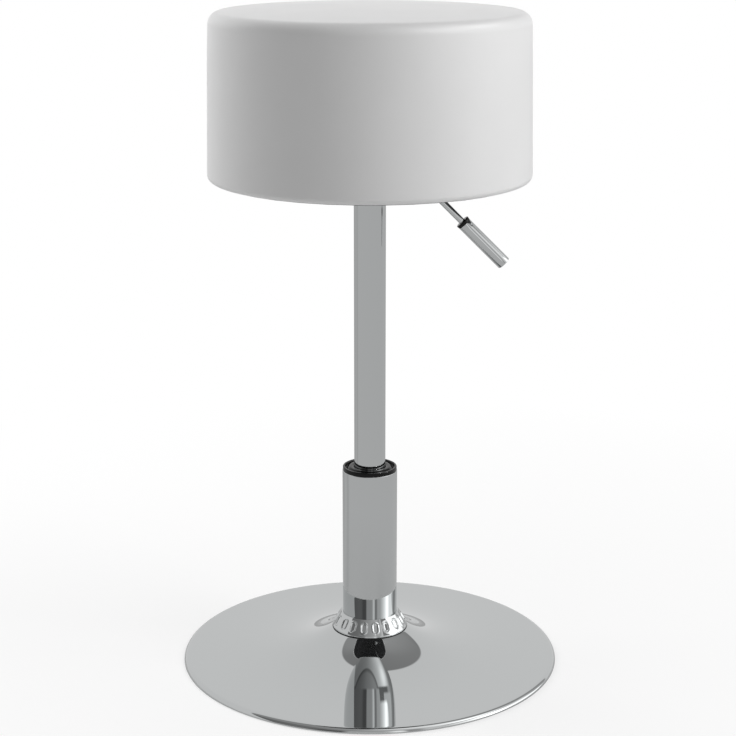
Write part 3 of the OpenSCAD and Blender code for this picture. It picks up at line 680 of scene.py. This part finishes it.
leatherette = leatherette_finish()
foam = foam_finish()
dressed(cushion, leatherette, "column", "leatherette",
        "seat_cover", "foam_block", "soft_pad", "edge_wrap")
cushion.data.materials.append(foam.material)
for face in cushion.data.polygons:
    beside_board = (BOARD_Z0 - 0.1) * MM < face.center.z < (BOARD_Z1 + 0.1) * MM
    if beside_board and face.center.xy.length < (BOARD_R + 0.3) * MM:
        face.material_index = 1


# ---------------------------------------------------------------------------------------------
# The dust cloth and the staples. A disc of black non-woven cloth closes the underside, cut out for
# the lever. It lies over the leatherette's hem and its folds, and staples go through both.

CLOTH_R = 139.3
CLOTH_T = 0.8
CLOTH_STEP = 120.0
CLOTH_LAY = 0.01
CLOTH_CENTRE = 8.0
CUT_EDGE = 0.15
POCKET_HALF = 26.0
POCKET_R = 54.0
INNER_STEPS = 10
OUTER_STEPS = 14
inner_rings = spread(POCKET_R + 4.0, CLOTH_STEP - 1.6, INNER_STEPS)
outer_rings = spread(CLOTH_STEP + 0.8, CLOTH_R - 0.3, OUTER_STEPS)
board_side = BOARD_Z0 - CLOTH_LAY
hem_side = SEAT_UNDER - CLOTH_LAY
cloth = turned("dust_cloth_sheet", [(0, board_side), (CLOTH_CENTRE, board_side)]
               + [(r, board_side) for r in inner_rings]
               + [(CLOTH_STEP - 0.4, board_side), (CLOTH_STEP, board_side - 0.4),
                  (CLOTH_STEP + 0.1, hem_side)]
               + [(r, hem_side) for r in outer_rings]
               + [(CLOTH_R, hem_side - CUT_EDGE), (CLOTH_R, hem_side - CLOTH_T + CUT_EDGE)]
               + [(r, hem_side - CLOTH_T) for r in reversed(outer_rings)]
               + [(CLOTH_STEP - CLOTH_T, hem_side - CLOTH_T),
                  (CLOTH_STEP - CLOTH_T - 0.3, board_side - CLOTH_T)]
               + [(r, board_side - CLOTH_T) for r in reversed(inner_rings[:-1])]
               + [(CLOTH_CENTRE, board_side - CLOTH_T), (0, board_side - CLOTH_T)], SEAT_SIDES)
for v in cloth.data.vertices:
    if v.co.xy.length > (CLOTH_STEP - CLOTH_T - 0.1) * MM and v.co.z < (hem_side + 0.1) * MM:
        v.co.z -= fold_drop(v)


def cut_with(piece, cutter):
    """Cuts the cutter's shape out of the piece and throws the cutter away."""
    bpy.ops.object.select_all(action="DESELECT")
    bpy.context.view_layer.objects.active = piece
    piece.select_set(True)
    bpy.ops.object.modifier_add(type="BOOLEAN")
    piece.modifiers[-1].operation = "DIFFERENCE"
    piece.modifiers[-1].solver = "EXACT"
    piece.modifiers[-1].object = cutter
    bpy.ops.object.modifier_apply(modifier=piece.modifiers[-1].name)
    bpy.data.objects.remove(cutter)


CUTTER_DEPTH = 0.01
bpy.ops.mesh.primitive_cylinder_add(
    vertices=96, radius=POCKET_HALF * MM, depth=CUTTER_DEPTH, location=(0, 0, board_side * MM))
cut_with(cloth, bpy.context.object)
bpy.ops.mesh.primitive_cube_add(size=1, location=(POCKET_R / 2 * MM, 0, board_side * MM))
slot_cutter = bpy.context.object
bpy.ops.transform.resize(value=(POCKET_R * MM, POCKET_HALF * MM, CUTTER_DEPTH))
cut_with(cloth, slot_cutter)

POINT_PITCH = 0.0016


def cloth_finish():
    """Black spun-bonded cloth, embossed with a close grid of small points."""
    made = Finish("dust_cloth", (0.02, 0.02, 0.021), 0.85, Sheen_Weight=0.3, Sheen_Roughness=0.5)
    parts = [made.place.part(axis) for axis in "XY"]
    x, y = [p.worked("PINGPONG", p, POINT_PITCH / 2) / (POINT_PITCH / 2) for p in parts]
    point = (x * y).span(0.35, 0.75)
    fibre = made.place.noise(1800.0, 3.0, 0.7)
    made.set(Base_Color=point.blend(point, (0.028, 0.028, 0.03), (0.012, 0.012, 0.013)),
             Roughness=point.span(0.0, 1.0, 0.9, 0.6))
    return made.bumped(fibre * 0.4 - point, 0.00015, 0.6)


black_cloth = cloth_finish()
dressed(cloth, black_cloth, "column", "cloth", "dust_cloth")
carried(dark_steel, "staples")


# ---------------------------------------------------------------------------------------------
# The lever. A chromed rod bent down under the seat, with a thick chromed grip pushed on its end
# and a black plastic bush between them. It points to +X and turns on the pin in the bracket.

PIVOT = Vector((25.0, 0.0, 472.4))
BEND_REACH = 8.5
LEVER_SLOPE = 45.0
LEVER_R = 3.0
LEVER_LEN = 74.0
GRIP_LEN = 52.0
GRIP_R = 6.4
GRIP_SIDES = 128
GRIP_STEPS = 8
GRIP_BORE = 3.05
BUSH_BORE = LEVER_R + 0.05
GRIP_BORE_END = 40.05
BUSH_POCKET_R = 4.66
BUSH_POCKET_END = 6.05
BUSH_SIDES = 96
BUSH_T = 3.1
BUSH_PLUG_R = 4.6
BUSH_PLUG_END = 6.0
carried(chrome, "lever_rod")


def on_lever(piece):
    """Turns a piece from the column's axis on to the sloping rod, its foot at the rod's bend."""
    turn = Matrix.Rotation(math.radians(90 + LEVER_SLOPE), 4, "Y")
    bend = Matrix.Translation((PIVOT + Vector((BEND_REACH, 0, 0))) * MM)
    piece.data.transform(bend @ turn)
    return piece


grip_end = LEVER_LEN + GRIP_LEN
grip = on_lever(turned("grip", [
    (0, LEVER_LEN + GRIP_BORE_END), (GRIP_BORE, LEVER_LEN + GRIP_BORE_END),
    (GRIP_BORE, LEVER_LEN + BUSH_POCKET_END), (BUSH_POCKET_R, LEVER_LEN + BUSH_POCKET_END),
    (BUSH_POCKET_R, LEVER_LEN)]
    + arc(GRIP_R - 0.35, LEVER_LEN + 0.35, 0.35, -90, 0, 4)
    + [(GRIP_R, z) for z in spread(LEVER_LEN, grip_end, GRIP_STEPS)[1:-1]]
    + arc(GRIP_R - 0.9, grip_end - 0.9, 0.9, 0, 90, 6)
    + [(2.0, grip_end), (0, grip_end)], GRIP_SIDES))
dressed(grip, chrome, "lever", "chrome", "lever_grip")
bush = on_lever(turned("bush", [
    (BUSH_BORE, LEVER_LEN + BUSH_PLUG_END), (BUSH_BORE, LEVER_LEN - BUSH_T),
    (GRIP_R - 1.1, LEVER_LEN - BUSH_T)]
    + arc(GRIP_R - 0.5, LEVER_LEN - BUSH_T + 0.8, 0.8, -60, 0, 4)
    + [(GRIP_R, LEVER_LEN), (BUSH_PLUG_R, LEVER_LEN), (BUSH_PLUG_R, LEVER_LEN + BUSH_PLUG_END)],
    BUSH_SIDES))
dressed(bush, black_moulding, "lever", "black_plastic", "grip_bush")


# ---------------------------------------------------------------------------------------------
# The studio. A pale floor that runs on to white, soft lamps round the stool, and the camera.
# The chrome reflects shades listed by bearing instead of the lamps. Bearings are in degrees:
# 0 is from the stool towards the camera, and 90 is towards +X, the right of the picture.

def by_bearing(x, y, shades):
    """Shades listed by bearing, for a place or a direction."""
    bearing = x.worked("ARCTAN2", x, 0 - y) / math.tau + 0.5
    top = max(shade for _, shade in shades)
    return bearing.node("ShaderNodeValToRGB", {0: bearing}, stops=[
        ((angle + 180) / 360, shade / top) for angle, shade in shades]) * top


FLOOR_R = 8.0
FLOOR_COLOUR = (0.69, 0.69, 0.69)
FLOOR_TO_CAMERA = (0.93, 0.93, 0.93)
WHITE = (1.0, 1.0, 1.0)
# Painted shades of the floor's glow, by bearing, darker in places, for what the chrome sees of the
# floor.
PAINTED_FLOOR_SHADES = [(-180, 0.47), (-135, 0.52), (-126, 0.61), (-114, 0.62), (-107, 0.55), (-101, 0.56),
                (-95, 0.64), (-88, 0.66), (120, 0.65), (137, 0.61), (150, 0.53), (180, 0.47)]


def studio_floor():
    """White to the camera, with a faint shadow of the stool on it. Near the stool it is partly lit;
    farther out, to the chrome and to all other rays, it glows light grey with painted shades listed
    by bearing, as a floor is that the lamps over the stool don't reach."""
    bpy.ops.object.select_all(action="DESELECT")
    bpy.ops.mesh.primitive_circle_add(vertices=128, radius=FLOOR_R, fill_type="NGON")
    floor = bpy.context.object
    floor.name = "studio_floor"
    made = Finish("pale_floor", FLOOR_COLOUR, 0.9, Specular_IOR_Level=0.0)
    seen = made.place.node("ShaderNodeLightPath", out="Is Camera Ray")
    made.set(Base_Color=seen.blend(seen, FLOOR_COLOUR, FLOOR_TO_CAMERA))
    x, y = [made.place.part(axis) for axis in "XY"]
    shade = seen.blend(seen, by_bearing(x, y, PAINTED_FLOOR_SHADES), WHITE)
    # The floor's glow: painted shade by bearing to the chrome and other rays, white to the camera.
    painted_floor_glow = made.place.node("ShaderNodeEmission", {"Color": shade, "Strength": 1.0})
    spot = made.place.node("ShaderNodeVectorMath", {0: made.place}, out="Value", operation="LENGTH")
    to_camera = spot.span(0.16, 0.9, 0.65, 1.0)
    to_chrome = spot.span(0.19, 0.45, 0.4, 1.0)
    share = seen * to_camera + (1 - seen) * to_chrome
    mixed = share.node("ShaderNodeMixShader", {
        0: share, 1: Lead(made.tree, made.shader.outputs[0]), 2: painted_floor_glow})
    made.tree.links.new(mixed.socket, made.tree.nodes["Material Output"].inputs["Surface"])
    floor.data.materials.append(made.material)


studio_floor()

# The studio as the chrome sees it: the windows and lamps low in its walls, the plain wall over
# them, and the ceiling. The backdrop is one pale plane. Each EDGE, TURN and SIDE is the axis of a
# border between two parts that runs as a great circle.
LOW_SHADES = [(-180, 0.22), (-75, 0.2), (-60, 0.21), (-45, 0.23), (-36, 0.22), (-28, 0.14),
              (-17, 0.14), (-12, 0.6), (8, 0.62), (12, 0.83), (15, 1.25), (19, 1.3), (23, 0.4),
              (29, 0.44), (34, 0.84), (44, 0.86), (50, 1.1), (58, 1.5), (68, 2.2), (76, 3.2),
              (83, 3.2), (91, 2.0), (118, 1.9), (126, 0.55), (135, 0.42), (145, 0.35), (180, 0.3)]
WALL_SHADES = [(-180, 0.25), (-60, 0.21), (-45, 0.25), (-30, 0.31), (-15, 0.4), (0, 0.46),
               (15, 0.55), (30, 0.6), (42, 0.62), (50, 0.5), (88, 0.48), (100, 0.7), (108, 0.8),
               (120, 0.56), (135, 0.39), (150, 0.3), (180, 0.3)]
CEILING_SHADES = [(-180, 0.28), (-150, 0.3), (-130, 0.38), (-115, 0.4), (-90, 0.34), (-60, 0.37),
                  (-30, 0.45), (-15, 0.53), (0, 0.64), (15, 0.77), (30, 0.93), (45, 1.08),
                  (60, 1.2), (80, 1.25), (95, 1.15), (105, 0.95), (113, 0.6), (120, 0.43),
                  (135, 0.39), (150, 0.33), (180, 0.28)]
BACKDROP_SHADE = 0.86
BACKDROP_EDGE = (0.471, -0.722, 0.506)
CEILING_EDGE = (-0.259, -0.798, -0.545)
LAMP_GLOW = (0.672, -0.118, 0.731)
LAMP_TURN = (0.682, 0.731, 0.0)
LAMP_EDGE = (0.432, -0.442, -0.786)
LAMP_TOP = (0.6, 0.508)
GLOW_TIGHTNESS = 35.0
HOOD_SHADE = 1.1
HOOD_TOP = 0.563
HOOD_SIDES = ((0.342, 0.94, 0.0), (0.423, -0.906, 0.0))
AMBIENT = 0.05
OVERHEAD = 0.2


def studio_world():
    """What surrounds the stool: the shades above to what mirrors it, white to the camera, and to
    all else a weak light that is stronger from overhead."""
    world = bpy.data.worlds.new("studio")
    bpy.context.scene.world = world
    world.use_nodes = True
    tree = world.node_tree
    coord = tree.nodes.new("ShaderNodeTexCoord")
    way = Lead(tree, coord.outputs["Generated"])
    x, y, z = [way.part(axis) for axis in "XYZ"]

    def towards(direction):
        return x * direction[0] + y * direction[1] + z * direction[2]

    def over(under, share, upper):
        return under * (1 - share) + upper * share

    glow = towards(LAMP_GLOW).span(0.0, 1.0) ** GLOW_TIGHTNESS
    level = by_bearing(x, y, CEILING_SHADES) + glow
    below_ceiling = towards(CEILING_EDGE).span(-0.03, 0.01)
    gloom = y.worked("MAXIMUM", y.span(0.0, 0.1), towards(CEILING_EDGE).span(0.03, 0.09, 0.6, 1.0))
    wall = by_bearing(x, y, WALL_SHADES) * gloom
    on_wall = below_ceiling.worked("MAXIMUM", below_ceiling, z.span(0.61, 0.63, 1.0, 0.0))
    level = over(level, on_wall, wall)
    hood = (HOOD_TOP - z).span(-0.01, 0.01)
    for side in HOOD_SIDES:
        hood = hood * towards(side).span(-0.02, 0.02)
    level = over(level, hood, HOOD_SHADE)
    lamp_side = towards(LAMP_TURN).span(-0.02, 0.02)
    top = lamp_side.span(0.0, 1.0, *LAMP_TOP)
    in_lamp = lamp_side.worked("MAXIMUM", 1 - lamp_side, towards(LAMP_EDGE).span(-0.015, 0.015))
    level = over(level, (top - z).span(-0.01, 0.01) * in_lamp, by_bearing(x, y, LOW_SHADES))
    mirrored = over(level, towards(BACKDROP_EDGE).span(-0.01, 0.01, 1.0, 0.0), BACKDROP_SHADE)
    glossy = way.node("ShaderNodeLightPath", out="Is Glossy Ray")
    camera = way.node("ShaderNodeLightPath", out="Is Camera Ray")
    level = glossy * mirrored + camera + (1 - glossy - camera) * z.span(0.4, 0.9, AMBIENT, OVERHEAD)
    tree.links.new(level.socket, tree.nodes["Background"].inputs["Color"])
    tree.nodes["Background"].inputs["Strength"].default_value = 1.0


studio_world()

LAMP_AIM = Vector((0, 0, 0.4))


def lamp(name, bearing, height, distance, width, tall, power):
    """A softbox at a bearing to the right of the camera and a height above level, in degrees. The
    chrome doesn't see it: what chrome sees of the lamps is part of the studio's shades."""
    a, e = math.radians(bearing), math.radians(height)
    way = Vector((math.sin(a) * math.cos(e), -math.cos(a) * math.cos(e), math.sin(e)))
    bpy.ops.object.light_add(type="AREA", location=LAMP_AIM + way * distance)
    box = bpy.context.object
    box.name = box.data.name = name
    box.rotation_euler = way.to_track_quat("Z", "Y").to_euler()
    box.data.shape = "RECTANGLE"
    box.data.size, box.data.size_y = width, tall
    box.data.energy = power
    box.visible_glossy = False
    return box


glossy_pieces = bpy.data.collections.new("glossy_pieces")
for piece in (cushion, cap, bush):
    glossy_pieces.objects.link(piece)


def glint(name, bearing, height, distance, size, power):
    """The small bright middle of a lamp, which only the gloss of the leatherette and the black
    mouldings shows."""
    box = lamp(name, bearing, height, distance, size, size, power)
    box.visible_glossy, box.visible_diffuse = True, False
    box.light_linking.receiver_collection = glossy_pieces


lamp("key", 60, 25, 2.2, 1.2, 1.1, 16.7)
lamp("key_high", 72, 46, 2.4, 1.3, 0.9, 18.6)
lamp("left", -100, 25, 2.2, 1.2, 1.1, 12.5)
lamp("left_back", -135, 25, 2.2, 1.2, 1.1, 26.0)
lamp("back", 180, 30, 2.2, 1.6, 1.1, 7.4)
glint("key_glint", 100, 42, 2.2, 0.3, 14.0)
glint("high_glint", 55, 43, 2.2, 0.16, 16.0)

PICTURE = 736
CAMERA_PLACE = Vector((-0.0017, -1.6858, 0.7347))
CAMERA_TILT = 0.261
FOCUS_PIXELS = 1883.28
SENSOR = 36.0
bpy.ops.object.camera_add(location=CAMERA_PLACE, rotation=(math.pi / 2 - CAMERA_TILT, 0, 0))
camera = bpy.context.object
camera.data.sensor_width = SENSOR
camera.data.lens = SENSOR * FOCUS_PIXELS / PICTURE
bpy.context.scene.camera = camera
bpy.context.scene.view_settings.view_transform = "Standard"
